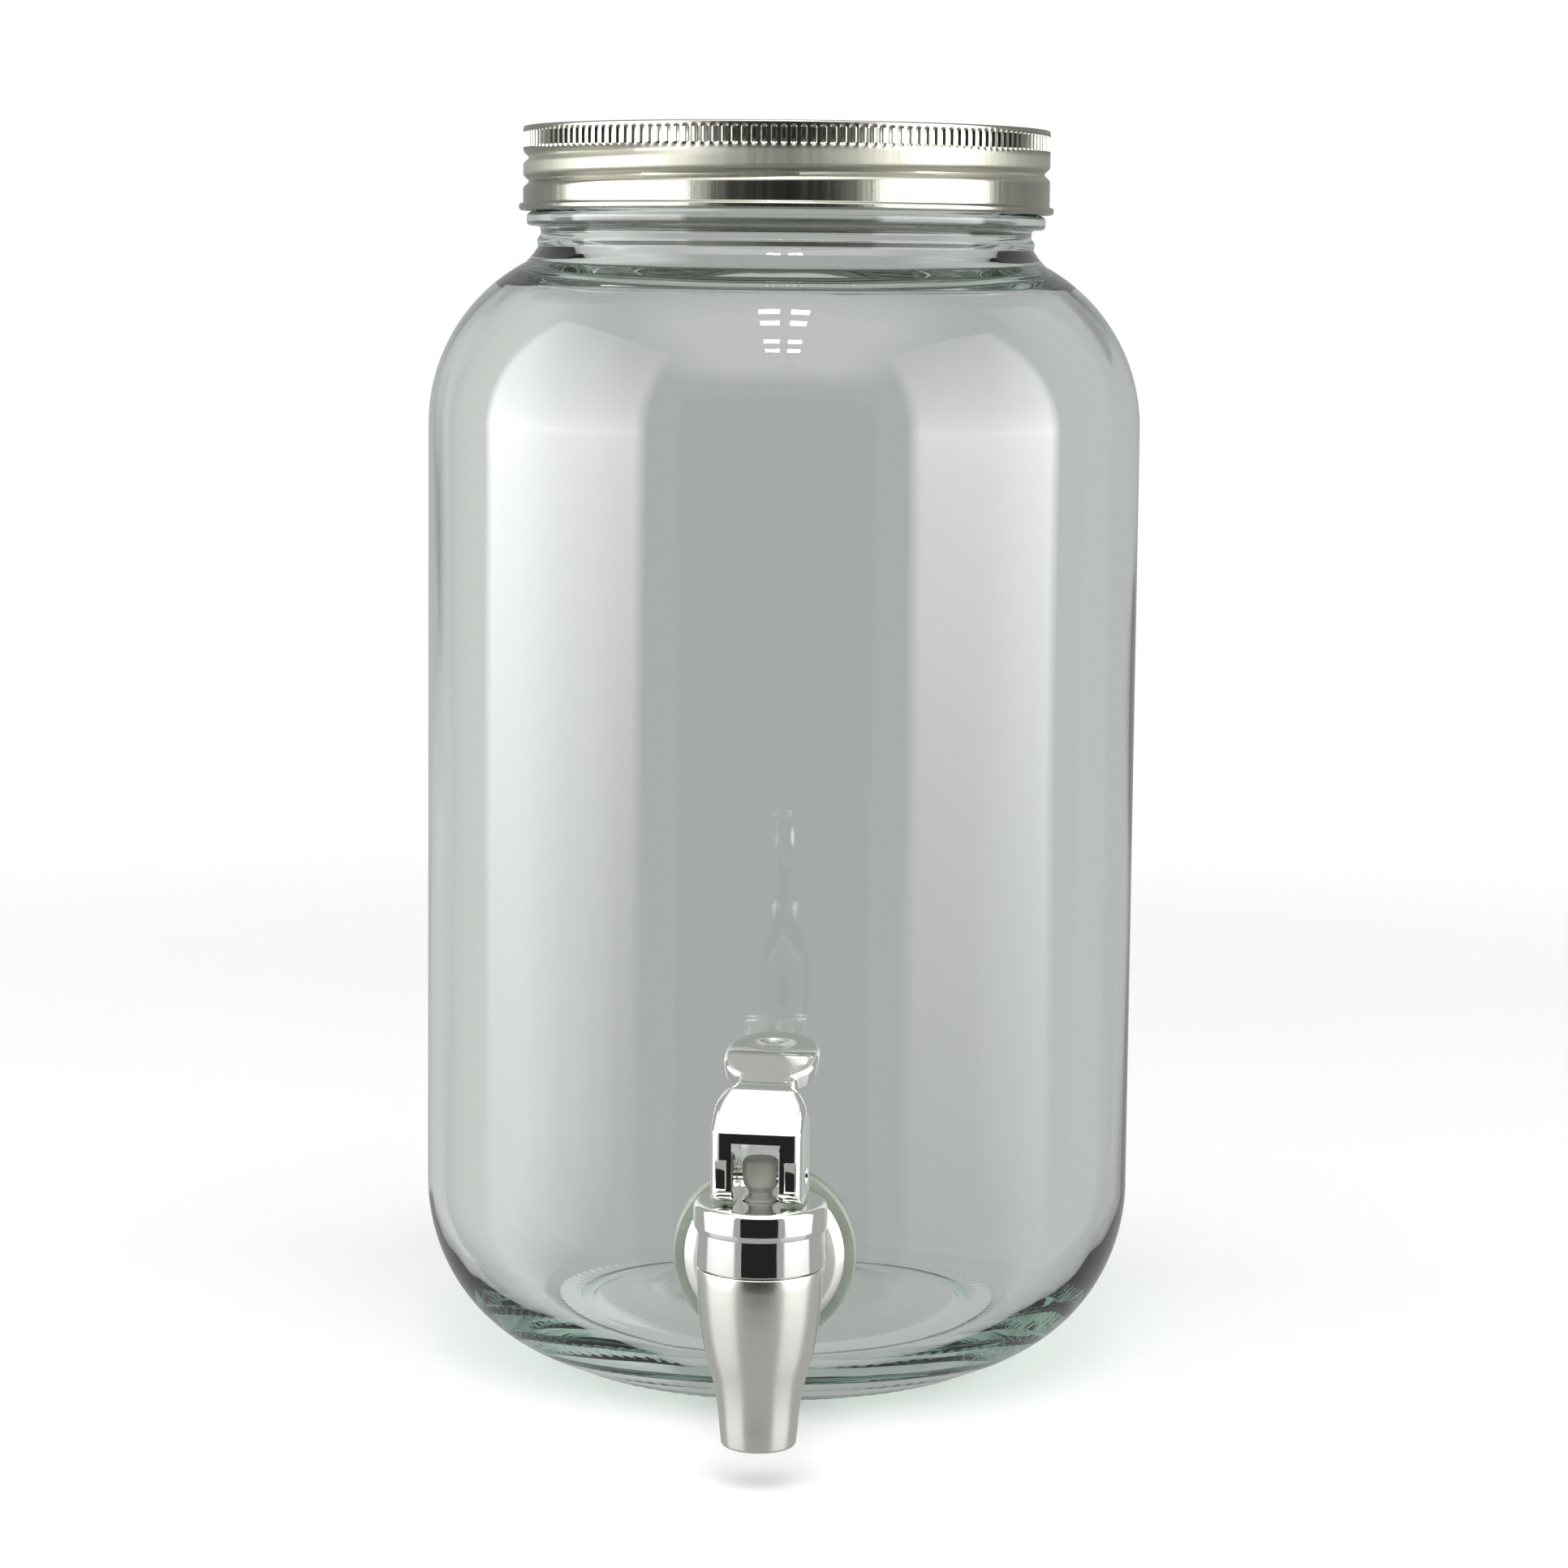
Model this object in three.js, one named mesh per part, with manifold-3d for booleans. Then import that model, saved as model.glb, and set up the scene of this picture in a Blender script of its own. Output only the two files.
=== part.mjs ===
// Beverage dispenser: a wide-mouth glass jar with a rolled-thread tin lid and a self-closing lever tap.
// Millimetres, +Z up. The jar stands on Z = 0 and the tap points along -Y.

import * as THREE from 'three';
import { mergeVertices } from 'three/addons/utils/BufferGeometryUtils.js';
import Module from 'manifold-3d';

const wasm = await Module();
wasm.setup();

// ---- driving dimensions -------------------------------------------------------------------------

const GAP = 0.3; // clearance between neighbouring pieces

// jar
const JAR_R = 77; // outside radius of the body
const WALL = 3.2; // glass thickness of the body
const HEEL_W = 33.3; // how far the heel curves in
const HEEL_H = 37; // height at which the heel meets the straight wall
const BEARING_IN = 44.5; // bearing ring, on which the jar stands
const BEARING_OUT = 50.5;
const BEARING_START = 18; // degrees up the heel curve at which it leaves the bearing ring
const PUSH_UP = 4; // height of the hollow under the base
const FLOOR = 6.5; // thickness of the glass floor
const SHOULDER_R = 39.4; // radius of the shoulder curve
const SHOULDER_Z = 202.5; // height of its centre
const SHOULDER_END = 62; // degrees up the shoulder curve at which the neck begins
const NECK_R = 53.2;
const NECK_Z = 240.5;
const RING_R = 56; // transfer ring under the lid
const RING_LOW = 244.9;
const RING_HIGH = 247.6;
const FINISH_R = 54.4; // outside of the threaded finish
const MOUTH_R = 50.4;
const JAR_TOP = 264.2;

// thread, shared by the jar and the lid
const PITCH = 5.08;
const THREAD_START = 90; // degrees around, counted from +X
const THREAD_END = 625;
const THREAD_FADE = 40;
const GROOVE_Z = 254.4; // height of the lid's groove at 180 degrees
const GROOVE_DEPTH = 1.2;
const RIDGE_Z = GROOVE_Z + 2.4; // height of the jar's ridge at 180 degrees
const RIDGE_DEPTH = 1.4;
const THREAD_HALF = 1.5; // half the width of a ridge or groove

// lid
const LID_R = 56.8;
const LID_TOP = 266.2;
const LID_SHEET = 0.5;
const LID_BOTTOM = 248.3;
const HEM_R = 57.7;
const HEM_H = 1.6;
const LID_CORNER = 1.3;
const PANEL_R = 47; // recessed centre of the lid
const PANEL_DROP = 0.7;
const GASKET_H = 0.8;

// tap
const TAP_REACH = 107; // jar axis to barrel axis
const SHANK_Z = 38.8;
const SHANK_R = 7.8;
const SHANK_BORE_R = 4.2;
const SHANK_END = 59; // jar axis to the inner end of the shank
const HOLE_R = 8.3; // drilled hole in the glass
const FLANGE_R = 16.2;
const FLANGE_BACK = 80.4; // jar axis to the flange's seat on its washer
const FLANGE_H = 3;
const COLLAR_R = 10.2;
const OUTER_WASHER_R = 18.5;
const INNER_WASHER_R = 14;
const INNER_WASHER_FACE = 70; // jar axis to the washer's flat face
const NUT_FLATS = 25;
const NUT_H = 8;
const SPOUT_Z = 8; // lowest point of the spout
const SPOUT_BORE_R = 5.2;
const SEAT_Z = 27;
const SEAT_BORE_R = 4.6;
const CHAMBER_R = 8.8;
const BARREL_R = 12.4;
const SEAM_Z = 43.9; // joint between barrel and bonnet
const NECK_TOP = 51.5; // top of the threaded neck inside the bonnet
const BARREL_NECK_R = 10.4;

// bonnet
const BAND_R = 12.55;
const LIP_Z = 50.9;
const CAP_R = 13.1;
const CAP_TOP = 56.5;
const CAP_CORNER = 1.9;
const CAP_THICK = 3.2;
const STEM_HOLE_R = 3.5;

// stem, pin and lever, in a frame at the barrel axis
const LEVER_TURN = -7; // degrees that lever and stem stand turned about the barrel axis
const PIN_Z = 61.5;
const PIN_R = 1.2;
const PIN_LENGTH = 17.2;
const HEAD_R = 3.4;
const HEAD_W = 7.6;
const COLLAR_STEM_R = 3.1;
const ROD_R = 2.2;
const BARB_R = 3;
const STEM_LOW = 30;
const CAM_RATE = 3; // stem rise in mm for each radian of lever
const CAM_DEGREES = 52; // a little past the lever's 50 degrees of travel
const LEVER_W = 17.9;
const FORK_GAP = 9.2;
const FORK_TOP = 69;
const FOOT_BACK = 4.6;
const PAD_W = 18.4;
const WAIST_W = 11.8;

// facets
const JAR_SIDES = 48;
const TAP_SIDES = 36;
const SMALL_SIDES = 20;

// ---- frame --------------------------------------------------------------------------------------

// The bounding box runs from the bonnet's front to the jar's back, and is centred on the origin.
const JAR_Y = (TAP_REACH + CAP_R - JAR_R) / 2;
const TAP_Y = JAR_Y - TAP_REACH;

// ---- helpers ------------------------------------------------------------------------------------

const radians = THREE.MathUtils.degToRad;
const point = (x, y) => new THREE.Vector2(x, y);

// Points of an elliptical arc, from one angle to the other.
function arc(cx, cy, rx, ry, from, to, steps) {
  const points = [];
  for (let i = 0; i <= steps; i += 1) {
    const angle = radians(from + ((to - from) * i) / steps);
    points.push(point(cx + rx * Math.cos(angle), cy + ry * Math.sin(angle)));
  }
  return points;
}

// Turns an outline of (radius, height) about Z. It ends on the axis, or is closed onto its start.
function turnUpright(outline, sides) {
  const last = outline[outline.length - 1];
  const closed = last.x === 0 ? outline : [...outline, outline[0]];
  return new THREE.LatheGeometry(closed, sides).rotateX(Math.PI / 2);
}

// Turns an outline of (radius, y) about Y, for the shank and what sits on it.
function turnAlongY(outline, sides) {
  const last = outline[outline.length - 1];
  const closed = last.x === 0 ? outline : [...outline, outline[0]];
  return new THREE.LatheGeometry(closed, sides).translate(0, 0, SHANK_Z);
}

// A cylinder about Z, or along Y at the shank's height.
const rod = (r, low, high) => [point(0, low), point(r, low), point(r, high), point(0, high)];

// Extrudes an outline of (y, z) along X, centred on X = 0.
function extrudeAlongX(shape, width) {
  const geometry = new THREE.ExtrudeGeometry(shape, { depth: width, bevelEnabled: false });
  return geometry.translate(0, 0, -width / 2).rotateY(Math.PI / 2).rotateX(Math.PI / 2);
}

// A closed geometry as a solid that can be cut and joined.
function solid(geometry) {
  const bare = geometry.clone();
  bare.deleteAttribute('normal');
  bare.deleteAttribute('uv');
  const merged = mergeVertices(bare, 1e-4);
  const index = Array.from(merged.index.array);
  const triVerts = [];
  for (let i = 0; i < index.length; i += 3) {
    const [a, b, c] = index.slice(i, i + 3);
    if (a !== b && b !== c && c !== a) triVerts.push(a, b, c);
  }
  const mesh = new wasm.Mesh({
    numProp: 3,
    vertProperties: new Float32Array(merged.attributes.position.array),
    triVerts: new Uint32Array(triVerts),
  });
  mesh.merge();
  return new wasm.Manifold(mesh);
}

// A solid as a geometry to draw.
function geometryOf(body) {
  const mesh = body.getMesh();
  const geometry = new THREE.BufferGeometry();
  geometry.setAttribute('position', new THREE.BufferAttribute(mesh.vertProperties, 3));
  geometry.setIndex(new THREE.BufferAttribute(mesh.triVerts, 1));
  geometry.computeVertexNormals();
  return geometry;
}

// Moves the wall of a turned piece in or out by a helical ridge or groove.
// depth is positive outwards, and the wall is what lies beyond the radius wallFrom.
function rollThread(geometry, heightAt180, depth, wallFrom) {
  const position = geometry.attributes.position;
  for (let i = 0; i < position.count; i += 1) {
    const x = position.getX(i);
    const y = position.getY(i);
    const r = Math.hypot(x, y);
    if (r < wallFrom) continue;
    const angle = (THREE.MathUtils.radToDeg(Math.atan2(y, x)) + 360) % 360;
    let push = 0;
    for (const turned of [angle, angle + 360]) {
      const along = Math.min(turned - THREAD_START, THREAD_END - turned) / THREAD_FADE;
      const height = heightAt180 + (PITCH * (turned - 180)) / 360;
      const across = Math.abs(position.getZ(i) - height) / THREAD_HALF;
      if (along <= 0 || across >= 1) continue;
      push += depth * Math.min(along, 1) * Math.cos((across * Math.PI) / 2) ** 2;
    }
    position.setXY(i, (x * (r + push)) / r, (y * (r + push)) / r);
  }
  return geometry;
}

// Evenly spaced points up or down a straight wall.
function wall(r, from, to, steps) {
  const points = [];
  for (let i = 0; i <= steps; i += 1) points.push(point(r, from + ((to - from) * i) / steps));
  return points;
}

// ---- materials ----------------------------------------------------------------------------------

function paint(color, roughness, metalness) {
  return new THREE.MeshStandardMaterial({ color, roughness, metalness });
}

const glass = paint(0xdfe6e1, 0.05, 0);
glass.transparent = true;
glass.opacity = 0.35;

const materials = {
  glass,
  tinplate: paint(0xc9cac4, 0.35, 1),
  chrome: paint(0xd9dbd8, 0.08, 1),
  silicone: paint(0xd8dad4, 0.5, 0),
  stemPlastic: paint(0x8d8b84, 0.4, 0),
  nutPlastic: paint(0xe9e9e4, 0.45, 0),
  gasket: paint(0xeeeeea, 0.6, 0),
  steel: paint(0xb5b6b3, 0.25, 1),
};

// ---- jar ----------------------------------------------------------------------------------------

// Heel and lower wall of the jar as a plain turned block: the outer face grown by a gap, or the
// inner face shrunk by one. The washers are cut to these.
function lowerJar(r, width, height, gap) {
  const heel = arc(r - width, HEEL_H, width + gap, height + gap, -90, 0, 12);
  const top = SHANK_Z + 2 * OUTER_WASHER_R;
  return turnUpright([point(0, heel[0].y), ...heel, point(r + gap, top), point(0, top)], JAR_SIDES * 2);
}

function glassJar() {
  const inside = JAR_R - WALL;
  const floorR = BEARING_IN - 2;
  const outside = [
    point(0, PUSH_UP),
    point(floorR - 12, PUSH_UP - 1),
    point(floorR, 1),
    point(BEARING_IN, 0),
    point(BEARING_OUT, 0),
    ...arc(JAR_R - HEEL_W, HEEL_H, HEEL_W, HEEL_H, BEARING_START - 90, 0, 7),
    ...arc(JAR_R - SHOULDER_R, SHOULDER_Z, SHOULDER_R, SHOULDER_R, 0, SHOULDER_END, 6),
    point(NECK_R, NECK_Z),
    point(NECK_R, RING_LOW - 0.8),
    point(RING_R - 0.8, RING_LOW),
    point(RING_R, RING_LOW + 0.8),
    point(RING_R, RING_HIGH - 0.6),
    point(FINISH_R, RING_HIGH + 0.3),
    ...wall(FINISH_R, 249.6, JAR_TOP - 1.4, 13),
    point(FINISH_R - 1, JAR_TOP),
  ];
  const hollow = [
    point(MOUTH_R + 1, JAR_TOP),
    point(MOUTH_R, JAR_TOP - 1.4),
    point(MOUTH_R, NECK_Z - 0.5),
    ...arc(inside - SHOULDER_R + WALL, SHOULDER_Z, SHOULDER_R - WALL, SHOULDER_R - WALL, 58, 0, 5),
    ...arc(inside - HEEL_W + WALL, HEEL_H, HEEL_W - WALL, HEEL_H - FLOOR, 0, -90, 6),
    point(floorR - 12, FLOOR + PUSH_UP - 1),
    point(0, FLOOR + PUSH_UP),
  ];
  const body = turnUpright([...outside, ...hollow], JAR_SIDES);
  const threaded = rollThread(body, RIDGE_Z, RIDGE_DEPTH, FINISH_R - 0.1);
  const hole = turnAlongY(rod(HOLE_R, -JAR_R - 10, -JAR_R + 20), TAP_SIDES);
  return geometryOf(solid(threaded).subtract(solid(hole)));
}

// ---- lid ----------------------------------------------------------------------------------------

function lid() {
  const inside = LID_R - LID_SHEET;
  const under = LID_TOP - LID_SHEET;
  const hemTop = LID_BOTTOM + HEM_H;
  const outline = [
    point(0, under - PANEL_DROP),
    point(PANEL_R, under - PANEL_DROP),
    point(PANEL_R + 1.2, under),
    point(inside - LID_CORNER + LID_SHEET, under),
    ...wall(inside, LID_TOP - LID_CORNER, hemTop, 13),
    point(inside + 0.2, LID_BOTTOM),
    point(HEM_R - 0.4, LID_BOTTOM),
    point(HEM_R, LID_BOTTOM + 0.5),
    point(HEM_R, hemTop - 0.4),
    ...wall(LID_R, hemTop, LID_TOP - LID_CORNER, 13),
    point(LID_R - 0.4 * LID_CORNER, LID_TOP - 0.3 * LID_CORNER),
    point(LID_R - LID_CORNER, LID_TOP),
    point(PANEL_R + 1.2, LID_TOP),
    point(PANEL_R, LID_TOP - PANEL_DROP),
    point(0, LID_TOP - PANEL_DROP),
  ];
  return rollThread(turnUpright(outline, JAR_SIDES), GROOVE_Z, -GROOVE_DEPTH, inside - 0.1);
}

function lidGasket() {
  const low = JAR_TOP + GAP;
  const high = low + GASKET_H;
  const inner = MOUTH_R - 0.2;
  const outer = LID_R - LID_SHEET - LID_CORNER;
  const ring = [point(inner, low), point(outer, low), point(outer, high), point(inner, high)];
  return turnUpright(ring, JAR_SIDES);
}

// ---- tap fixed to the jar -----------------------------------------------------------------------

// Outside of the spout and barrel: a short neck above the tip that swells to the barrel.
const barrelOutline = [
  point(0, SPOUT_Z),
  point(6.6, SPOUT_Z),
  point(7.25, SPOUT_Z + 0.7),
  point(7.7, 12),
  point(8.1, 16),
  point(8.9, 20.5),
  point(10.3, 26),
  point(11.5, 32),
  point(12.1, 37),
  point(BARREL_R, SEAM_Z - 4),
  point(BARREL_R, SEAM_Z - GAP),
  point(BARREL_NECK_R, SEAM_Z - GAP),
  point(BARREL_NECK_R, NECK_TOP),
  point(0, NECK_TOP),
];

// The water way: spout bore, conical seat and chamber.
const waterWay = [
  point(0, SPOUT_Z - 2),
  point(SPOUT_BORE_R, SPOUT_Z - 2),
  point(SPOUT_BORE_R, SEAT_Z - 3),
  point(SEAT_BORE_R, SEAT_Z),
  point(CHAMBER_R, SEAT_Z + 1.5),
  point(CHAMBER_R, NECK_TOP + 2),
  point(0, NECK_TOP + 2),
];

function tapBody() {
  const flangeFront = -FLANGE_BACK - FLANGE_H;
  const shankOutline = [
    point(0, -TAP_REACH),
    point(COLLAR_R, -TAP_REACH),
    point(COLLAR_R, flangeFront),
    point(FLANGE_R - 2.2, flangeFront),
    point(FLANGE_R - 0.6, flangeFront + 0.7),
    point(FLANGE_R, flangeFront + 1.9),
    point(FLANGE_R, -FLANGE_BACK),
    point(SHANK_R, -FLANGE_BACK),
    point(SHANK_R, -SHANK_END - 1),
    point(SHANK_R - 1, -SHANK_END),
    point(0, -SHANK_END),
  ];
  const atBarrel = (outline) => solid(turnUpright(outline, TAP_SIDES).translate(0, -TAP_REACH, 0));
  const roomForBonnet = atBarrel(rod(CAP_R + GAP, SEAM_Z - GAP, CAP_TOP));
  const shank = solid(turnAlongY(shankOutline, TAP_SIDES)).subtract(roomForBonnet);
  const bore = solid(turnAlongY(rod(SHANK_BORE_R, -TAP_REACH, -SHANK_END + 1), SMALL_SIDES));
  return geometryOf(atBarrel(barrelOutline).add(shank).subtract(atBarrel(waterWay)).subtract(bore));
}

// Washer outside the jar, cut to the jar's curve.
function outerWasher() {
  const inner = SHANK_R + GAP;
  const outer = OUTER_WASHER_R;
  const face = -FLANGE_BACK + GAP;
  const back = -INNER_WASHER_FACE; // inside the glass, which cuts it off
  const ring = [point(inner, face), point(outer, face), point(outer, back), point(inner, back)];
  const jar = lowerJar(JAR_R, HEEL_W, HEEL_H, GAP);
  return geometryOf(solid(turnAlongY(ring, TAP_SIDES)).subtract(solid(jar)));
}

// Washer inside the jar, curved the other way.
function innerWasher() {
  const inner = SHANK_R + GAP;
  const outer = INNER_WASHER_R;
  const face = -INNER_WASHER_FACE;
  const front = -FLANGE_BACK; // outside the glass, which cuts it off
  const ring = [point(inner, front), point(outer, front), point(outer, face), point(inner, face)];
  const jar = lowerJar(JAR_R - WALL, HEEL_W - WALL, HEEL_H - FLOOR, -2 * GAP);
  return geometryOf(solid(turnAlongY(ring, TAP_SIDES)).intersect(solid(jar)));
}

function lockNut() {
  const hex = new THREE.Shape();
  for (let i = 0; i < 6; i += 1) {
    const angle = radians(60 * i);
    const r = NUT_FLATS / 2 / Math.cos(radians(30));
    if (i === 0) hex.moveTo(r, 0);
    else hex.lineTo(r * Math.cos(angle), r * Math.sin(angle));
  }
  hex.closePath();
  hex.holes.push(new THREE.Path().absarc(0, 0, SHANK_R + GAP, 0, Math.PI * 2, true));
  const geometry = new THREE.ExtrudeGeometry(hex, { depth: NUT_H, bevelEnabled: false, curveSegments: 16 });
  return geometry.rotateX(Math.PI / 2).translate(0, -INNER_WASHER_FACE + GAP + NUT_H, SHANK_Z);
}

function bonnet() {
  const outline = [
    point(BARREL_NECK_R + GAP, SEAM_Z),
    point(BAND_R, SEAM_Z),
    point(BAND_R, LIP_Z),
    point(CAP_R, LIP_Z + 0.6),
    ...arc(CAP_R - CAP_CORNER, CAP_TOP - CAP_CORNER, CAP_CORNER, CAP_CORNER, 0, 90, 4),
    point(STEM_HOLE_R, CAP_TOP),
    point(STEM_HOLE_R, CAP_TOP - CAP_THICK),
    point(BARREL_NECK_R + GAP, CAP_TOP - CAP_THICK),
  ];
  return turnUpright(outline, TAP_SIDES);
}

// ---- moving valve -------------------------------------------------------------------------------

// Silicone plug with a bell above it, whose rim the bonnet holds down on the barrel.
function seatCup() {
  const rimLow = NECK_TOP + GAP;
  const rimHigh = CAP_TOP - CAP_THICK - GAP;
  const outline = [
    point(0, SEAT_Z + 1.1),
    point(5.4, SEAT_Z + 1.3),
    point(6.2, SEAT_Z + 2.2),
    point(6.2, 34),
    point(4.6, 36.5),
    point(4.6, 43),
    point(8.2, 49.5),
    point(8.2, rimLow),
    point(BARREL_NECK_R - 0.2, rimLow),
    point(BARREL_NECK_R - 0.2, rimHigh),
    point(7.2, rimHigh),
    point(7, 49.5),
    point(3.6, 43.6),
    point(ROD_R + GAP, 42),
    point(ROD_R + GAP, STEM_LOW + 3.2),
    point(BARB_R + GAP, STEM_LOW + 2.6),
    point(BARB_R + GAP, STEM_LOW - GAP),
    point(0, STEM_LOW - GAP),
  ];
  return turnUpright(outline, SMALL_SIDES);
}

// Valve stem: barb, rod, collar, neck and a flat-sided head with the pin's hole.
function stem() {
  const outline = [
    point(0, STEM_LOW),
    point(BARB_R, STEM_LOW),
    point(BARB_R, STEM_LOW + 2.2),
    point(ROD_R, STEM_LOW + 2.6),
    point(ROD_R, 54.2),
    point(COLLAR_STEM_R, 54.8),
    point(COLLAR_STEM_R, 57),
    point(ROD_R + 0.2, 57.4),
    point(ROD_R + 0.2, PIN_Z),
    point(0, PIN_Z),
  ];
  const profile = new THREE.Shape().absarc(0, PIN_Z, HEAD_R, 0, Math.PI * 2);
  const hole = new THREE.Shape().absarc(0, PIN_Z, PIN_R + GAP, 0, Math.PI * 2);
  const head = solid(extrudeAlongX(profile, HEAD_W));
  const shaft = solid(turnUpright(outline, SMALL_SIDES));
  return geometryOf(shaft.add(head).subtract(solid(extrudeAlongX(hole, HEAD_W + 2))));
}

function pivotPin() {
  const profile = new THREE.Shape().absarc(0, PIN_Z, PIN_R, 0, Math.PI * 2);
  return extrudeAlongX(profile, PIN_LENGTH);
}

// Foot of the fork. At rest its flat stands on the bonnet. As the lever comes forward the contact
// runs up this curve, whose distance below the pin grows by CAM_RATE for each radian.
function camCurve(steps) {
  const height = PIN_Z - CAP_TOP - GAP;
  const points = [];
  for (let i = 0; i <= steps; i += 1) {
    const angle = radians((CAM_DEGREES * i) / steps);
    const reach = height + CAM_RATE * angle;
    const forward = reach * Math.sin(angle) + CAM_RATE * Math.cos(angle);
    const down = reach * Math.cos(angle) - CAM_RATE * Math.sin(angle);
    points.push(point(-forward, PIN_Z - down));
  }
  return points;
}

// Side view of the lever as (y, z), with the barrel axis at y = 0 and the jar towards +y.
function leverSide() {
  const foot = camCurve(8);
  const toe = foot[foot.length - 1];
  const shape = new THREE.Shape();
  shape.moveTo(FOOT_BACK - 1.2, CAP_TOP + GAP);
  for (const p of foot) shape.lineTo(p.x, p.y);
  shape.lineTo(toe.x, FORK_TOP - 1);
  shape.quadraticCurveTo(toe.x + 1, 76.5, 0, 77.8);
  shape.bezierCurveTo(5, 78.4, 9, 80.4, 13, 83);
  shape.quadraticCurveTo(17, 85.4, 21.5, 85.2);
  shape.quadraticCurveTo(23.4, 84.9, 22.6, 83.6);
  shape.quadraticCurveTo(17, 83, 13, 80);
  shape.bezierCurveTo(9.5, 76.5, 5.5, 75, FOOT_BACK, 70.5);
  shape.lineTo(FOOT_BACK, CAP_TOP + GAP + 1.5);
  shape.closePath();
  return shape;
}

// View of the lever from above as (x, y): square fork, narrow waist and round pad.
function leverPlan() {
  const half = LEVER_W / 2;
  const waist = WAIST_W / 2;
  const pad = PAD_W / 2;
  const shape = new THREE.Shape();
  shape.moveTo(-half, -12);
  shape.lineTo(half, -12);
  shape.lineTo(half, 2);
  shape.bezierCurveTo(half, 6, waist, 5, waist, 9);
  shape.bezierCurveTo(waist, 12, pad, 11.5, pad, 14.5);
  shape.bezierCurveTo(pad, 20, 5, 23.6, 0, 23.6);
  shape.bezierCurveTo(-5, 23.6, -pad, 20, -pad, 14.5);
  shape.bezierCurveTo(-pad, 11.5, -waist, 12, -waist, 9);
  shape.bezierCurveTo(-waist, 5, -half, 6, -half, 2);
  shape.closePath();
  return shape;
}

function lever() {
  const side = solid(extrudeAlongX(leverSide(), PAD_W + 2));
  const tall = { depth: 40, bevelEnabled: false, curveSegments: 5 };
  const plan = solid(new THREE.ExtrudeGeometry(leverPlan(), tall).translate(0, 0, CAP_TOP - 5));
  const slot = new THREE.BoxGeometry(FORK_GAP, 40, 2 * (FORK_TOP - CAP_TOP)).translate(0, 0, CAP_TOP);
  const hole = new THREE.Shape().absarc(0, PIN_Z, PIN_R + GAP, 0, Math.PI * 2);
  const dimple = new THREE.SphereGeometry(7, 16, 12).translate(0, 18.6, 91.2);
  return geometryOf(
    side
      .intersect(plan)
      .subtract(solid(slot))
      .subtract(solid(extrudeAlongX(hole, LEVER_W + 2)))
      .subtract(solid(dimple)),
  );
}

// ---- assembly -----------------------------------------------------------------------------------

function named(name, geometry, material) {
  const mesh = new THREE.Mesh(geometry, material);
  mesh.name = name;
  return mesh;
}

const dispenser = new THREE.Group();

const jarGroup = new THREE.Group();
jarGroup.position.y = JAR_Y;
jarGroup.add(
  named('glass_jar', glassJar(), materials.glass),
  named('lid', lid(), materials.tinplate),
  named('lid_gasket', lidGasket(), materials.gasket),
  named('tap_body', tapBody(), materials.chrome),
  named('outer_washer', outerWasher(), materials.silicone),
  named('inner_washer', innerWasher(), materials.silicone),
  named('lock_nut', lockNut(), materials.nutPlastic),
);

const barrelGroup = new THREE.Group();
barrelGroup.position.y = TAP_Y;
barrelGroup.add(
  named('bonnet', bonnet(), materials.chrome),
  named('seat_cup', seatCup(), materials.silicone),
);

const leverGroup = new THREE.Group();
leverGroup.rotation.z = radians(LEVER_TURN);
leverGroup.add(
  named('stem', stem(), materials.stemPlastic),
  named('pivot_pin', pivotPin(), materials.steel),
  named('lever', lever(), materials.chrome),
);

barrelGroup.add(leverGroup);
dispenser.add(jarGroup, barrelGroup);

export default dispenser;
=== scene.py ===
"""Beverage dispenser: a wide-mouth glass jar with a rolled-thread tin lid and a chromed lever tap.

Outlines are in millimetres, as (radius, height) or (radius, height, fillet), and become metres in
the mesh functions. The jar's bottom is at height 0 and the tap points along -Y.
"""

import math

import bmesh
import bpy
import numpy as np
from mathutils import Matrix, Vector


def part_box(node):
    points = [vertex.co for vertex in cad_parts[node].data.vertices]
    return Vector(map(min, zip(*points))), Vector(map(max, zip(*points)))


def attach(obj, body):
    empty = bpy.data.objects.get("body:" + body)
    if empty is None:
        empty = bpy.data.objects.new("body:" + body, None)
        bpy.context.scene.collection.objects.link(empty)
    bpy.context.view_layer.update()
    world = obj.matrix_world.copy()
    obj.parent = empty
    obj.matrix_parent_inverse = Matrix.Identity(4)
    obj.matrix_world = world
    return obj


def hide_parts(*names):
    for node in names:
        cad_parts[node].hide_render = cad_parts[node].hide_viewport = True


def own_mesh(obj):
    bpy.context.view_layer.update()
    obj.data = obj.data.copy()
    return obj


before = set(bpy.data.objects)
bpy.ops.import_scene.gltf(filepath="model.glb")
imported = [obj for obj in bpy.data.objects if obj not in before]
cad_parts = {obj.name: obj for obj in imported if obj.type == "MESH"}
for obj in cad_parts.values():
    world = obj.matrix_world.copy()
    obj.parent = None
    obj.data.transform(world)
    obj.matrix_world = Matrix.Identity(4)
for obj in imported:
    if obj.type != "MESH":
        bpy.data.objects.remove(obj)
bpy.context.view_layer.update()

MM = 0.001


def box_mm(node):
    """A CAD node's lowest and highest corners, in millimetres."""
    return [Vector(corner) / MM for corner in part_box(node)]


# ---- sizes ---------------------------------------------------------------------------------------

jar_low, jar_high = box_mm("glass_jar")
lid_low, lid_high = box_mm("lid")
cap_low, cap_high = box_mm("bonnet")
body_low = box_mm("tap_body")[0]
washer_low, washer_high = box_mm("outer_washer")
pin_low, pin_high = box_mm("pivot_pin")
cup_low, cup_high = box_mm("seat_cup")
stem_low, stem_high = box_mm("stem")

GAP = 0.3  # clearance between neighbouring pieces

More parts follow.
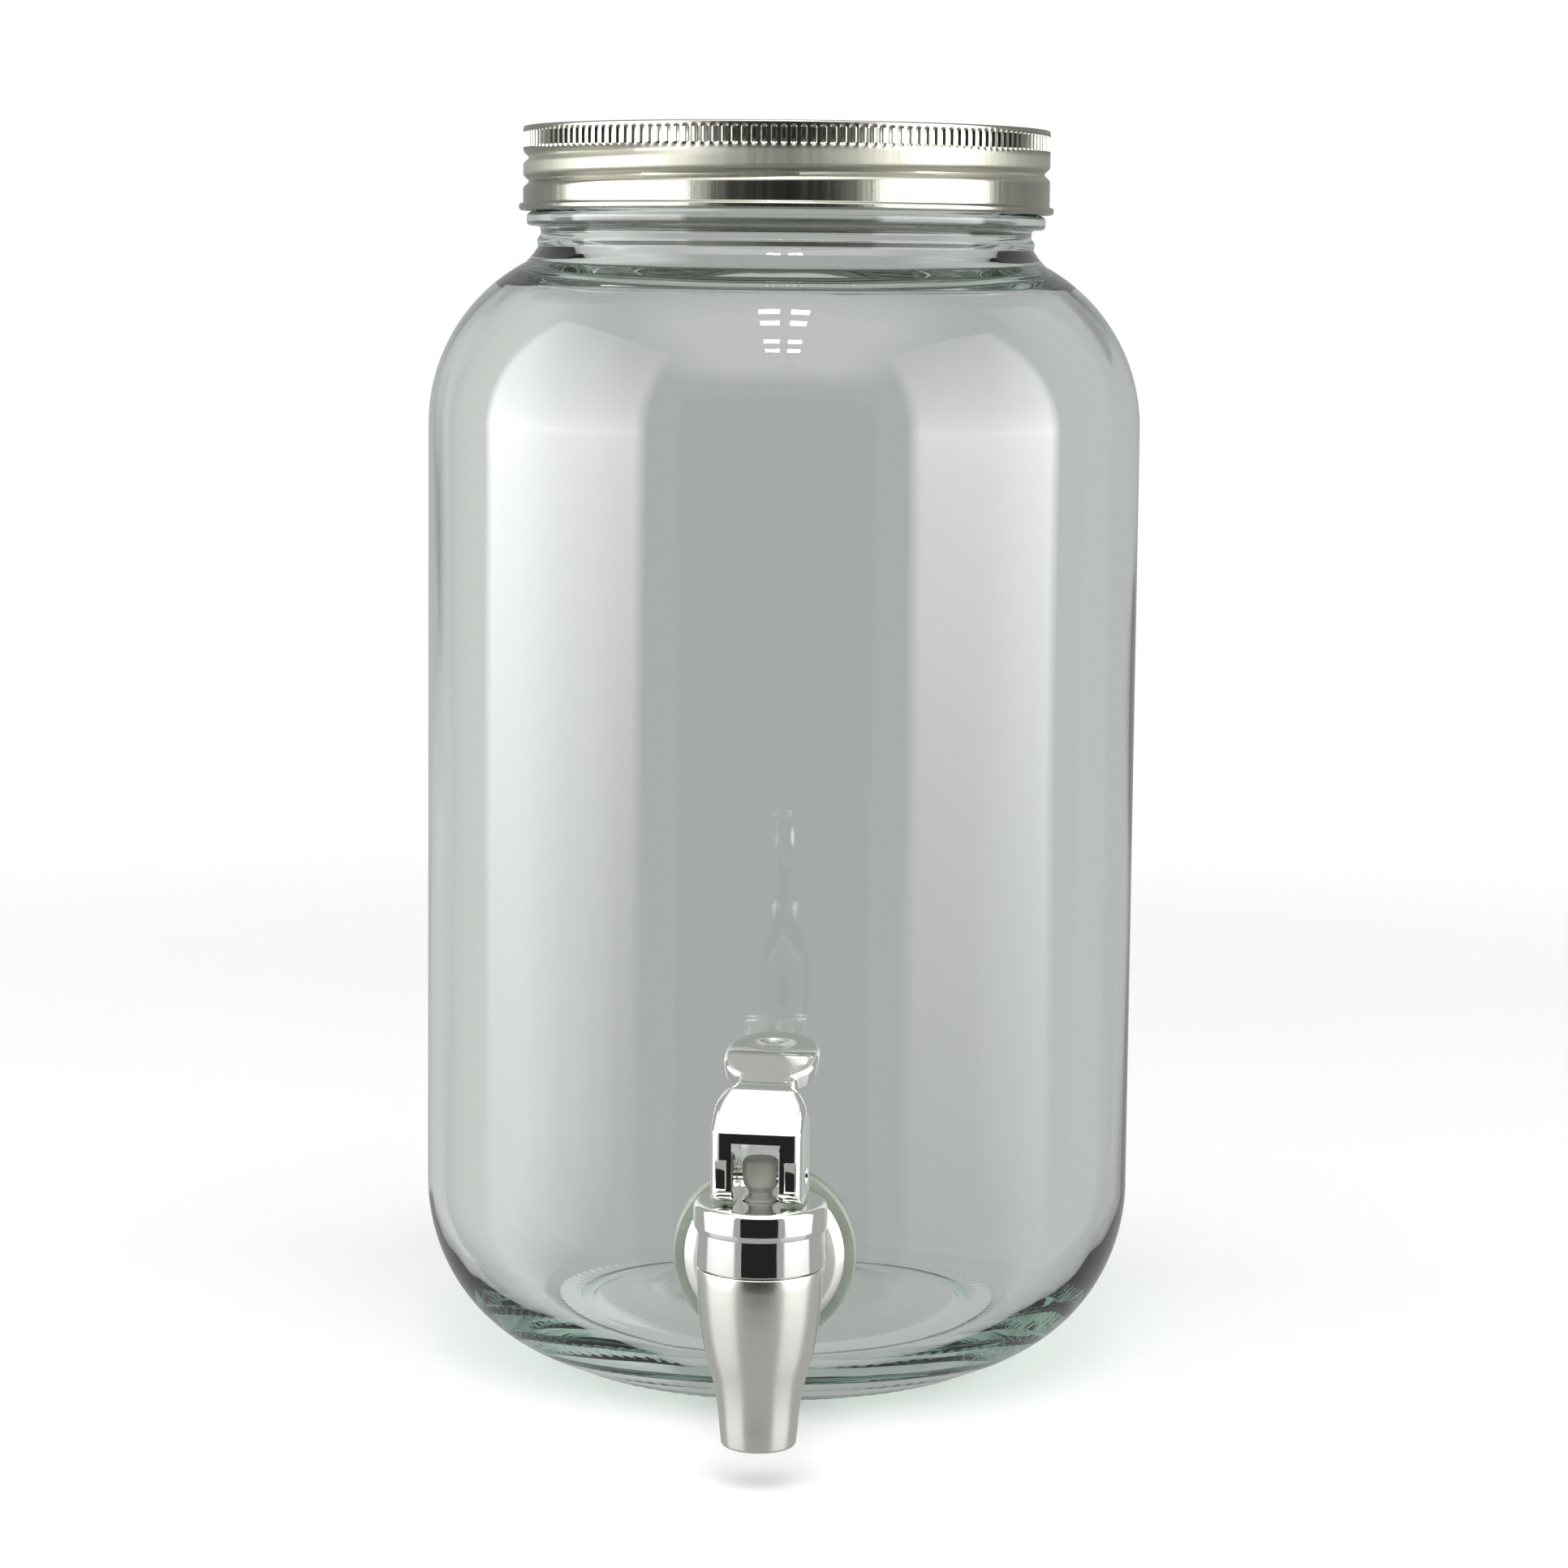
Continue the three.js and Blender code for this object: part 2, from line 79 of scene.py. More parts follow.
JAR_R = (jar_high.x - jar_low.x) / 2
JAR_Y = (jar_high.y + jar_low.y) / 2
JAR_TOP = jar_high.z
WALL = 3.2
HEEL_W = 33.3
HEEL_H = 37.0
BEARING_IN = 44.5
BEARING_OUT = 50.5
FLOOR = 6.5
PUSH_UP = 4.0
SHOULDER_R = 39.4
SHOULDER_Z = 202.5
FINISH_R = 54.4
RING_R = 56.0
MOUTH_R = 50.4

STIPPLES = 96
STIPPLE_DEPTH = 0.12

PITCH = 5.08
THREAD_START = 90.0
THREAD_END = 625.0
THREAD_FADE = 40.0
THREAD_HALF = 1.5
GROOVE_Z = 254.4  # height of the lid's groove on the -X side of the jar
GROOVE_DEPTH = 1.2
RIDGE_Z = GROOVE_Z + 2.4
RIDGE_DEPTH = 1.4
ROLLED_Z = 258.0  # middle of the band that the thread rollers leave dull

LID_TOP = lid_high.z
LID_BOTTOM = lid_low.z
HEM_R = (lid_high.x - lid_low.x) / 2
LID_R = HEM_R - 0.9
SHEET = 0.5
KNURLS = 176

TAP_Y = (cap_high.y + cap_low.y) / 2
REACH = JAR_Y - TAP_Y
CAP_R = (cap_high.x - cap_low.x) / 2
CAP_TOP = cap_high.z
SEAM_Z = cap_low.z
SPOUT_Z = body_low.z
WASHER_R = (washer_high.x - washer_low.x) / 2
SHANK_Z = (washer_high.z + washer_low.z) / 2
SHANK_R = 7.8
SHANK_END = 59.0  # jar's axis to the inner end of the shank
THREAD_STEP = 1.5  # pitch of the thread on the shank
WATER_R = 4.15  # water way through the shank
HOLE_R = 8.3  # hole drilled in the jar
FLANGE_R = 16.2
FLANGE_BACK = 80.4
SEAT = 70.0  # jar's axis to the plane in which the inner washer meets the nut
NECK_TOP = 51.5
PIN_Z = (pin_high.z + pin_low.z) / 2
PIN_R = 1.2
PIN_L = 17.2
LEVER_TURN = math.radians(-7)

# ---- outlines ------------------------------------------------------------------------------------


def arc(cx, cz, rx, rz, start, end, steps):
    """Points of an elliptical arc, from one angle in degrees to the other."""
    angles = np.radians(np.linspace(start, end, steps + 1))
    return [(cx + rx * math.cos(a), cz + rz * math.sin(a)) for a in angles]


def wall(r, low, high, steps):
    """Evenly spaced points up or down a straight wall."""
    return [(r, z) for z in np.linspace(low, high, steps + 1)]


def shares(steps):
    """Evenly spaced numbers from 0 to 1."""
    return [i / steps for i in range(steps + 1)]


def spline(points, steps):
    """A smooth curve through the points."""
    ends = [points[0], *points, points[-1]]
    curve = []
    for i in range(1, len(ends) - 2):
        p0, p1, p2, p3 = (Vector(ends[i + k]) for k in (-1, 0, 1, 2))
        for t in shares(steps)[:-1]:
            curve.append(
                0.5 * (2 * p1 + (p2 - p0) * t + (2 * p0 - 5 * p1 + 4 * p2 - p3) * t**2
                       + (3 * p1 - p0 - 3 * p2 + p3) * t**3)
            )
    return [tuple(p) for p in curve] + [tuple(points[-1])]


def rounded(corners, steps=5):
    """The outline with every corner that names a fillet turned into an arc."""
    points = []
    for i, corner in enumerate(corners):
        if len(corner) == 2:
            points.append(corner)
            continue
        here = Vector(corner[:2])
        back = Vector(corners[i - 1][:2]) - here
        on = Vector(corners[(i + 1) % len(corners)][:2]) - here
        half = back.angle(on) / 2
        reach = min(corner[2] / math.tan(half), 0.49 * back.length, 0.49 * on.length)
        back.normalize()
        on.normalize()
        centre = here + (back + on).normalized() * reach / math.cos(half)
        first, last = here + back * reach - centre, here + on * reach - centre
        sweep = math.pi - 2 * half
        for k in range(steps + 1):
            t = k / steps
            mix = (math.sin((1 - t) * sweep) * first + math.sin(t * sweep) * last) / math.sin(sweep)
            points.append(tuple(centre + mix))
    return points


# ---- meshes --------------------------------------------------------------------------------------


def mesh_object(name, vertices, faces, smooth=35.0):
    """A named mesh object from vertices in metres, with its normals out and its hard edges kept."""
    bm = bmesh.new()
    made = [bm.verts.new(v) for v in vertices]
    for face in faces:
        bm.faces.new([made[i] for i in face])
    bmesh.ops.recalc_face_normals(bm, faces=bm.faces)
    mesh = bpy.data.meshes.new(name)
    bm.to_mesh(mesh)
    bm.free()
    piece = bpy.data.objects.new(name, mesh)
    bpy.context.scene.collection.objects.link(piece)
    mesh.shade_smooth()
    mesh.set_sharp_from_angle(angle=math.radians(smooth))
    return piece


def turn(name, outline, sides, at, along="Z", warp=None, smooth=35.0):
    """Turns an outline about the Z, Y or X axis through a point. warp moves radius and height."""
    rows = np.array(outline, float)
    angles = np.arange(sides) * 2 * math.pi / sides
    radius = np.repeat(rows[:, :1], sides, 1)
    height = np.repeat(rows[:, 1:2], sides, 1)
    if warp:
        radius, height = warp(radius, height, np.degrees(angles)[None, :])
    x, y, z = radius * np.cos(angles), radius * np.sin(angles), height
    if along == "Y":
        y, z = z, y
    if along == "X":
        x, z = z, x
    vertices, index = [], []
    for i, row in enumerate(rows):
        count = sides if row[0] > 0 else 1
        start = len(vertices)
        vertices += [((x[i, j] + at[0]) * MM, (y[i, j] + at[1]) * MM, (z[i, j] + at[2]) * MM)
                     for j in range(count)]
        index.append([start + (j if count > 1 else 0) for j in range(sides)])
    solid = rows[0, 0] == 0 and rows[-1, 0] == 0
    pairs = list(zip(index, index[1:])) + ([] if solid else [(index[-1], index[0])])
    faces = []
    for low, high in pairs:
        for j in range(sides):
            k = (j + 1) % sides
            quad = [low[j], low[k], high[k], high[j]]
            face = [v for n, v in enumerate(quad) if v != quad[n - 1]]
            if len(face) > 2:
                faces.append(face)
    return mesh_object(name, vertices, faces, smooth)


def prism(name, outline, width, at=(0, 0, 0)):
    """A closed outline of (y, z) extruded along X, centred on it."""
    n = len(outline)
    vertices = [((at[0] + side * width / 2) * MM, (at[1] + y) * MM, (at[2] + z) * MM)
                for side in (-1, 1) for y, z in outline]
    faces = [list(range(n)), list(range(n, 2 * n))]
    faces += [[i, (i + 1) % n, n + (i + 1) % n, n + i] for i in range(n)]
    return mesh_object(name, vertices, faces)


def boolean(piece, cutter, operation="DIFFERENCE"):
    """Cuts or joins with another object, which is used up."""
    step = piece.modifiers.new("cut", "BOOLEAN")
    step.operation = operation
    step.object = cutter
    step.solver = "EXACT"
    apply_modifiers(piece)
    bpy.data.objects.remove(cutter, do_unlink=True)


def apply_modifiers(piece):
    evaluated = piece.evaluated_get(bpy.context.evaluated_depsgraph_get())
    mesh = bpy.data.meshes.new_from_object(evaluated)
    piece.modifiers.clear()
    old, piece.data = piece.data, mesh
    bpy.data.meshes.remove(old)


def about_barrel(piece, angle=LEVER_TURN):
    """Turns a piece's mesh about the barrel's axis, as lever and stem stand."""
    axis = Vector((0, TAP_Y * MM, 0))
    piece.data.transform(
        Matrix.Translation(axis) @ Matrix.Rotation(angle, 4, "Z") @ Matrix.Translation(-axis)
    )


def place(piece, body, node, material):
    """Gives a piece its material and its body, and hides the CAD node that it stands for."""
    piece.data.materials.clear()
    piece.data.materials.append(material)
    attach(piece, body)
    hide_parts(node)


def thread(r, z, angle, height_at_180, depth, beyond):
    """The radius with a helical ridge or groove rolled into what lies beyond a radius."""
    pushed = r.copy()
    for turned in (angle % 360, angle % 360 + 360):
        along = np.minimum(turned - THREAD_START, THREAD_END - turned) / THREAD_FADE
        across = np.abs(z - height_at_180 - PITCH * (turned - 180) / 360) / THREAD_HALF
        shape = np.cos(np.clip(across, 0, 1) * math.pi / 2) ** 2
        ease = np.clip(along, 0, 1)
        pushed += np.where(r > beyond, depth * shape * ease * ease * (3 - 2 * ease), 0)
    return pushed


# ---- materials -----------------------------------------------------------------------------------


class Nodes:
    """A material's node tree, with short ways to add nodes and links."""

    def __init__(self, name):
        self.material = bpy.data.materials.new(name)
        self.material.use_nodes = True
        self.tree = self.material.node_tree
        self.tree.nodes.clear()
        self.out = self.add("ShaderNodeOutputMaterial")
        self.place = self.add("ShaderNodeTexCoord").outputs["Object"]

    def add(self, kind, **settings):
        node = self.tree.nodes.new(kind)
        for key, value in settings.items():
            if key in node.inputs:
                node.inputs[key].default_value = value
            else:
                setattr(node, key, value)
        return node

    def link(self, source, target):
        self.tree.links.new(source, target)

    def principled(self, **values):
        node = self.add("ShaderNodeBsdfPrincipled")
        for key, value in values.items():
            node.inputs[key.replace("_", " ")].default_value = value
        self.link(node.outputs[0], self.out.inputs["Surface"])
        return node

    def noise(self, scale, detail=3.0, rough=0.5, where=None, squeeze=(1, 1, 1)):
        """Noise over the object, with scale in features per metre."""
        mapping = self.add("ShaderNodeMapping")
        mapping.inputs["Scale"].default_value = squeeze
        self.link(where or self.place, mapping.inputs["Vector"])
        node = self.add("ShaderNodeTexNoise")
        node.inputs["Scale"].default_value = scale
        node.inputs["Detail"].default_value = detail
        node.inputs["Roughness"].default_value = rough
        self.link(mapping.outputs[0], node.inputs["Vector"])
        return node.outputs["Fac"]

    def spread(self, factor, low, high, inside=(0.3, 0.7)):
        """A number that runs from low to high as factor crosses the inside range."""
        node = self.add("ShaderNodeMapRange")
        node.inputs["From Min"].default_value = inside[0]
        node.inputs["From Max"].default_value = inside[1]
        node.inputs["To Min"].default_value = low
        node.inputs["To Max"].default_value = high
        self.link(factor, node.inputs["Value"])
        return node.outputs[0]

    def tint(self, factor, dark, light):
        """A colour between two as factor goes from 0.3 to 0.7."""
        node = self.add("ShaderNodeValToRGB")
        node.color_ramp.elements[0].position = 0.3
        node.color_ramp.elements[1].position = 0.7
        node.color_ramp.elements[0].color = (*dark, 1)
        node.color_ramp.elements[1].color = (*light, 1)
        self.link(factor, node.inputs["Fac"])
        return node.outputs["Color"]

    def maths(self, operation, *inputs):
        node = self.add("ShaderNodeMath", operation=operation)
        for socket, value in zip(node.inputs, inputs):
            if isinstance(value, (int, float)):
                socket.default_value = value
            else:
                self.link(value, socket)
        return node.outputs[0]

    def bump(self, height, distance, strength=1.0, before=None):
        node = self.add("ShaderNodeBump")
        node.inputs["Strength"].default_value = strength
        node.inputs["Distance"].default_value = distance
        self.link(height, node.inputs["Height"])
        if before:
            self.link(before, node.inputs["Normal"])
        return node.outputs[0]

    def around(self, radius):
        """Place unrolled about the jar's axis: metres around, nothing, metres up."""
        parts = self.add("ShaderNodeSeparateXYZ")
        self.link(self.place, parts.inputs[0])
        y = self.maths("SUBTRACT", parts.outputs[1], JAR_Y * MM)
        angle = self.maths("ARCTAN2", y, parts.outputs[0])
        joined = self.add("ShaderNodeCombineXYZ")
        self.link(self.maths("MULTIPLY", angle, radius), joined.inputs[0])
        self.link(parts.outputs[2], joined.inputs[2])
        return joined.outputs[0]


def let_lamps_through(nodes, shader, colour):
    """Lets light from the lamps through a clear material as a plain tint."""
    clear = nodes.add("ShaderNodeBsdfTransparent")
    clear.inputs["Color"].default_value = (*colour, 1)
    mix = nodes.add("ShaderNodeMixShader")
    nodes.link(nodes.add("ShaderNodeLightPath").outputs["Is Shadow Ray"], mix.inputs["Fac"])
    nodes.link(shader.outputs[0], mix.inputs[1])
    nodes.link(clear.outputs[0], mix.inputs[2])
    nodes.link(mix.outputs[0], nodes.out.inputs["Surface"])


def make_glass():
    """Clear soda glass, faintly green where it is thick, with the slow waves of a blown wall."""
    nodes = Nodes("clear_glass")
    shader = nodes.principled(
        Base_Color=(0.985, 0.992, 0.986, 1), Roughness=0.0, IOR=1.5, Transmission_Weight=1.0
    )
    slow = nodes.noise(20, 1.0, squeeze=(1, 1, 0.3))
    draws = nodes.noise(70, 1.0, squeeze=(1, 1, 0.08))
    waves = nodes.bump(slow, 0.0009)
    nodes.link(nodes.bump(draws, 0.00006, before=waves), shader.inputs["Normal"])
    let_lamps_through(nodes, shader, (0.82, 0.84, 0.82))
    dark = nodes.add("ShaderNodeVolumeAbsorption")
    dark.inputs["Color"].default_value = (0.2, 0.5, 0.38, 1)
    dark.inputs["Density"].default_value = 12.0
    nodes.link(dark.outputs[0], nodes.out.inputs["Volume"])
    return nodes.material


def make_tinplate():
    """Bright rolled tinplate: satin, with fine upright draw marks on the wall."""
    nodes = Nodes("tinplate")
    shader = nodes.principled(Metallic=1.0)
    unrolled = nodes.around(LID_R * MM)
    marks = nodes.noise(900, 3.0, where=unrolled, squeeze=(1, 1, 0.02))
    grain = nodes.noise(2600, 2.0, squeeze=(0.06, 1, 1))
    cloud = nodes.noise(35, 3.0)
    parts = nodes.add("ShaderNodeSeparateXYZ")
    nodes.link(nodes.place, parts.inputs[0])
    off = nodes.maths("ABSOLUTE", nodes.maths("SUBTRACT", parts.outputs[2], ROLLED_Z * MM))
    rolled = nodes.spread(off, 0.26, 0.0, (0.0022, 0.0034))
    rough = nodes.maths("ADD", nodes.spread(marks, 0.18, 0.26), nodes.spread(cloud, -0.02, 0.03))
    nodes.link(nodes.maths("ADD", rough, rolled), shader.inputs["Roughness"])
    nodes.link(nodes.tint(cloud, (0.32, 0.316, 0.27), (0.37, 0.366, 0.32)), shader.inputs["Base Color"])
    ribs = nodes.bump(marks, 0.00002)
    nodes.link(nodes.bump(grain, 0.00001, before=ribs), shader.inputs["Normal"])
    return nodes.material


def make_chrome(name, base, rough):
    """Bright chrome plate on plastic, a little uneven, with fine polishing haze."""
    nodes = Nodes(name)
    shader = nodes.principled(Metallic=1.0)
    peel = nodes.noise(210, 1.0)
    haze = nodes.noise(1400, 4.0, 0.6)
    cloud = nodes.noise(60, 2.0)
    nodes.link(nodes.spread(haze, rough, rough + 0.05), shader.inputs["Roughness"])
    nodes.link(nodes.tint(cloud, [c * 0.97 for c in base], base), shader.inputs["Base Color"])
    nodes.link(nodes.bump(peel, 0.00002), shader.inputs["Normal"])
    return nodes.material


def make_silicone():
    """Milky translucent silicone rubber with a soft gloss."""
    nodes = Nodes("silicone")
    shader = nodes.principled(
        IOR=1.41, Transmission_Weight=0.2, Subsurface_Weight=0.2, Subsurface_Scale=0.002
    )
    cloud = nodes.noise(120, 3.0)
    fine = nodes.noise(1800, 2.0)
    nodes.link(nodes.spread(cloud, 0.16, 0.26), shader.inputs["Roughness"])
    nodes.link(nodes.tint(cloud, (0.2, 0.23, 0.19), (0.26, 0.29, 0.25)), shader.inputs["Base Color"])
    nodes.link(nodes.bump(fine, 0.00001), shader.inputs["Normal"])
    let_lamps_through(nodes, shader, (0.7, 0.72, 0.7))
    return nodes.material


def make_plastic(name, dark, light, rough, fine_scale=1500, depth=0.00001):
    """Moulded plastic with a fine moulded grain and faint flow clouds."""
    nodes = Nodes(name)
    shader = nodes.principled(IOR=1.49)
    cloud = nodes.noise(90, 3.0)
    fine = nodes.noise(fine_scale, 3.0)
    nodes.link(nodes.spread(fine, rough - 0.04, rough + 0.06), shader.inputs["Roughness"])
    nodes.link(nodes.tint(cloud, dark, light), shader.inputs["Base Color"])
    nodes.link(nodes.bump(fine, depth), shader.inputs["Normal"])
    return nodes.material


GLASS = make_glass()
TINPLATE = make_tinplate()
CHROME = make_chrome("chrome_plate", (0.84, 0.85, 0.82), 0.03)
SATIN_CHROME = make_chrome("chrome_plate_barrel", (0.82, 0.82, 0.77), 0.22)
SILICONE = make_silicone()
STEM_PLASTIC = make_plastic("stem_plastic", (0.24, 0.235, 0.21), (0.29, 0.28, 0.255), 0.35)
NUT_PLASTIC = make_plastic("nut_plastic", (0.74, 0.74, 0.71), (0.8, 0.8, 0.78), 0.4)
LINER = make_plastic("lid_liner", (0.8, 0.8, 0.77), (0.86, 0.86, 0.84), 0.6, 3500, 0.00006)
STEEL = make_chrome("pin_steel", (0.6, 0.6, 0.58), 0.2)

# ---- jar -----------------------------------------------------------------------------------------


def jar_outline():
    """The jar's closed outline: under the base, up the outside, over the lip, down the inside."""
    inner = JAR_R - WALL
    heel = JAR_R - HEEL_W
    shoulder = JAR_R - SHOULDER_R
    outside = rounded([
        (0, PUSH_UP), (24, 3.9, 20), (32, 2.6, 6), (40, 1.5, 6), (BEARING_IN, 0.05, 1.5),
        (46.5, 0), (48.5, 0), (BEARING_OUT, 0.05, 1.2),
        *arc(heel, HEEL_H, HEEL_W, HEEL_H, -72, 0, 30),
        *wall(JAR_R, HEEL_H + 8, SHOULDER_Z - 8, 16),
        *arc(shoulder, SHOULDER_Z, SHOULDER_R, SHOULDER_R, 0, 62, 30),
        (54.6, 239.0, 1.2), (53.5, 240.6, 0.6), (53.8, 242.0, 0.8), (52.9, 243.4, 0.8),
        (53.2, 244.9, 0.5), (RING_R, 245.1, 0.9), (RING_R, 247.6, 0.9), (FINISH_R, 248.3, 0.6),
        *wall(FINISH_R, 249.2, JAR_TOP - 1.8, 46),
        (FINISH_R, JAR_TOP, 1.3),
    ])
    inside = rounded([
        (MOUTH_R, JAR_TOP, 1.3), (MOUTH_R, 256), (MOUTH_R, 246), (MOUTH_R + 0.1, 238),
        (MOUTH_R, 233.6, 2.6), (56.0, 232.6, 3.0),
        *arc(shoulder, SHOULDER_Z, SHOULDER_R - WALL, SHOULDER_R - WALL, 52, 0, 26),
        *wall(inner, SHOULDER_Z - 8, HEEL_H + 8, 16),
        *arc(heel, HEEL_H, HEEL_W - WALL, HEEL_H - FLOOR, 0, -88, 30),
        (40, FLOOR + 0.5, 10), (28, FLOOR + 2.6, 14), (12, FLOOR + 3.8, 20), (0, FLOOR + PUSH_UP),
    ])
    return outside + inside


def jar_warp(r, z, angle):
    """Rolls the thread ridge into the finish and presses the stipple into the bearing ring."""
    ridged = thread(r, z, angle, RIDGE_Z, RIDGE_DEPTH, FINISH_R - 0.05)
    on_ring = (r > BEARING_IN + 0.3) & (r < BEARING_OUT + 1.5) & (z < 1.5)
    slant = (r - BEARING_IN) * 0.9
    stipple = np.clip(np.sin(np.radians(angle * STIPPLES) + slant), 0, 1) * STIPPLE_DEPTH
    return ridged, z + np.where(on_ring, stipple, 0)


def make_jar():
    jar = turn("jar_glass", jar_outline(), 384, (0, JAR_Y, 0), warp=jar_warp, smooth=50)
    drill = turn(
        "drill", [(0, -JAR_R - 10), (HOLE_R, -JAR_R - 10), (HOLE_R, -JAR_R + 20), (0, -JAR_R + 20)],
        64, (0, JAR_Y, SHANK_Z), "Y",
    )
    boolean(jar, drill)
    jar.data.set_sharp_from_angle(angle=math.radians(50))
    place(jar, "root", "glass_jar", GLASS)


# ---- lid -----------------------------------------------------------------------------------------

KNURL_DEPTH = 0.5
KNURL_LOW = 261.2
KNURL_HIGH = LID_TOP - 0.9


def knurl(r, z, angle, beyond):
    """Presses the upright grip flutes into the top of the lid's wall."""
    phase = (angle * KNURLS / 360) % 1
    flute = np.clip(1.45 - np.abs(phase - 0.5) * 4.6, 0, 1)
    flute = flute * flute * (3 - 2 * flute)
    top = np.clip((KNURL_HIGH - z) / 0.5, 0, 1)
    bottom = np.clip((z - KNURL_LOW) / 0.7, 0, 1)
    return r - np.where(r > beyond, KNURL_DEPTH * flute * np.sqrt(top * bottom), 0)


def lid_warp(r, z, angle):
    pressed = thread(r, z, angle, GROOVE_Z, -GROOVE_DEPTH, LID_R - SHEET - 0.05)
    return knurl(pressed, z, angle, LID_R - 1.3), z


def make_lid():
    inside = LID_R - SHEET
    under = LID_TOP - SHEET
    hem_top = LID_BOTTOM + 1.6
    outline = rounded([
        (0, under - 0.7), (46, under - 0.7, 0.5), (47.4, under, 0.5), (inside, under, 0.9),
        *wall(inside, KNURL_HIGH, KNURL_LOW, 4), *wall(inside, KNURL_LOW - 0.6, 252.5, 17),
        (inside, hem_top), (inside + 0.15, LID_BOTTOM, 0.4), (HEM_R, LID_BOTTOM, 0.6),
        (HEM_R, hem_top - 0.1, 0.65), (LID_R, hem_top - 0.1, 0.3), (LID_R, hem_top + 0.6),
        *wall(LID_R, 252.5, KNURL_LOW - 0.6, 19),
        *wall(LID_R, KNURL_LOW, KNURL_LOW + 0.7, 2), *wall(LID_R, KNURL_HIGH - 0.5, KNURL_HIGH, 2),
        (LID_R, LID_TOP, 0.9), (47.4, LID_TOP, 0.7), (46, LID_TOP - 0.7, 0.7),
        (44.6, LID_TOP - 0.7, 0.3), (0, LID_TOP - 0.7),
    ], 4)
    lid = turn("tin_lid", outline, KNURLS * 5, (0, JAR_Y, 0), warp=lid_warp, smooth=40)
    place(lid, "lid", "lid", TINPLATE)


def make_gasket():
    low, high = box_mm("lid_gasket")
    outer = (high.x - low.x) / 2
    inner = MOUTH_R - 0.2
    outline = rounded([
        (inner, low.z, 0.25), (51.5, low.z, 0.1), (52.0, low.z + 0.15, 0.1), (53.0, low.z + 0.15, 0.1),
        (53.5, low.z, 0.1), (outer, low.z, 0.25), (outer, high.z, 0.25), (inner, high.z, 0.25),
    ], 3)
    gasket = turn("lid_liner_ring", outline, 256, (0, JAR_Y, 0))
    place(gasket, "gasket", "lid_gasket", LINER)


# ---- tap -----------------------------------------------------------------------------------------


def barrel_outline():
    """Outside of barrel and spout, then the water way down the inside."""
    swell = spline([
        (7.6, 11.0), (8.1, 16), (8.95, 20.5), (10.45, 26), (11.55, 32), (12.1, 37), (12.35, 41),
    ], 6)
    return rounded([
        (5.2, SPOUT_Z, 0.4), (7.3, SPOUT_Z, 0.7), (7.5, 10.2, 4), *swell,
        (12.4, SEAM_Z - GAP, 0.35), (10.4, SEAM_Z - GAP), (10.4, NECK_TOP, 0.4), (8.8, NECK_TOP, 0.3),
        (8.8, 28.5), (4.6, 27), (5.2, 24),
    ])


def make_tap_body():
    """Barrel and spout joined to the flange and its threaded shank, with a bore between them."""
    body = turn("tap_body_chrome", barrel_outline(), 160, (0, TAP_Y, 0))
    front = -FLANGE_BACK - 3
    end = -SHANK_END
    shank = [(4.2, -REACH + 9.6), (10.2, -REACH + 9.6), (10.2, front - 1.2, 1.2), (12.2, front, 1.5),
             (14.8, front + 0.8, 3), (FLANGE_R, front + 2.2, 0.6), (FLANGE_R, -FLANGE_BACK, 0.3),
             (SHANK_R - 0.6, -FLANGE_BACK, 0.2)]
    turns = int((end + FLANGE_BACK - 2) / THREAD_STEP)
    for i in range(turns):
        at = -FLANGE_BACK + 1 + THREAD_STEP * i
        shank += [(SHANK_R - 0.6, at, 0.1), (SHANK_R, at + 0.55, 0.1), (SHANK_R, at + 0.8, 0.1),
                  (SHANK_R - 0.6, at + 1.35, 0.1)]
    shank += [(SHANK_R - 0.6, end - 0.6, 0.2), (SHANK_R - 1.4, end, 0.3), (4.2, end, 0.4)]
    stub = turn("shank", rounded(shank, 3), 128, (0, JAR_Y, SHANK_Z), "Y")
    room = turn("room", [(0, SEAM_Z - GAP), (CAP_R + GAP, SEAM_Z - GAP), (CAP_R + GAP, 70), (0, 70)],
                96, (0, TAP_Y, 0))
    boolean(stub, room)
    boolean(body, stub, "UNION")
    bore = turn("bore", [(0, -REACH), (WATER_R, -REACH), (WATER_R, end - 2), (0, end - 2)], 64,
                (0, JAR_Y, SHANK_Z), "Y")
    boolean(body, bore)
    body.data.shade_smooth()
    body.data.set_sharp_from_angle(angle=math.radians(35))
    place(body, "root", "tap_body", SATIN_CHROME)


def make_bonnet():
    outline = rounded([
        (10.7, SEAM_Z, 0.2), (12.62, SEAM_Z, 0.25), (12.35, 50.9, 0.12), (CAP_R - 0.25, 51.2, 0.3),
        (CAP_R, 52.0, 0.6), (CAP_R, 54), (CAP_R - 0.15, CAP_TOP, 1.9), (9.0, CAP_TOP - 0.12, 3),
        (3.5, CAP_TOP, 0.35), (3.5, CAP_TOP - 3.2, 0.3), (10.7, CAP_TOP - 3.2),
    ], 8)
    bonnet = turn("bonnet_chrome", outline, 160, (0, TAP_Y, 0))
    place(bonnet, "root", "bonnet", CHROME)


def lower_jar(name, r, width, height, sides=192):
    """Heel and lower wall of the jar as a plain turned block, to which the washers are cut."""
    heel = arc(r - width, HEEL_H, width, height, -90, 0, 24)
    block = [(0, heel[0][1]), *heel, (r, 90), (0, 90)]
    return turn(name, block, sides, (0, JAR_Y, 0))


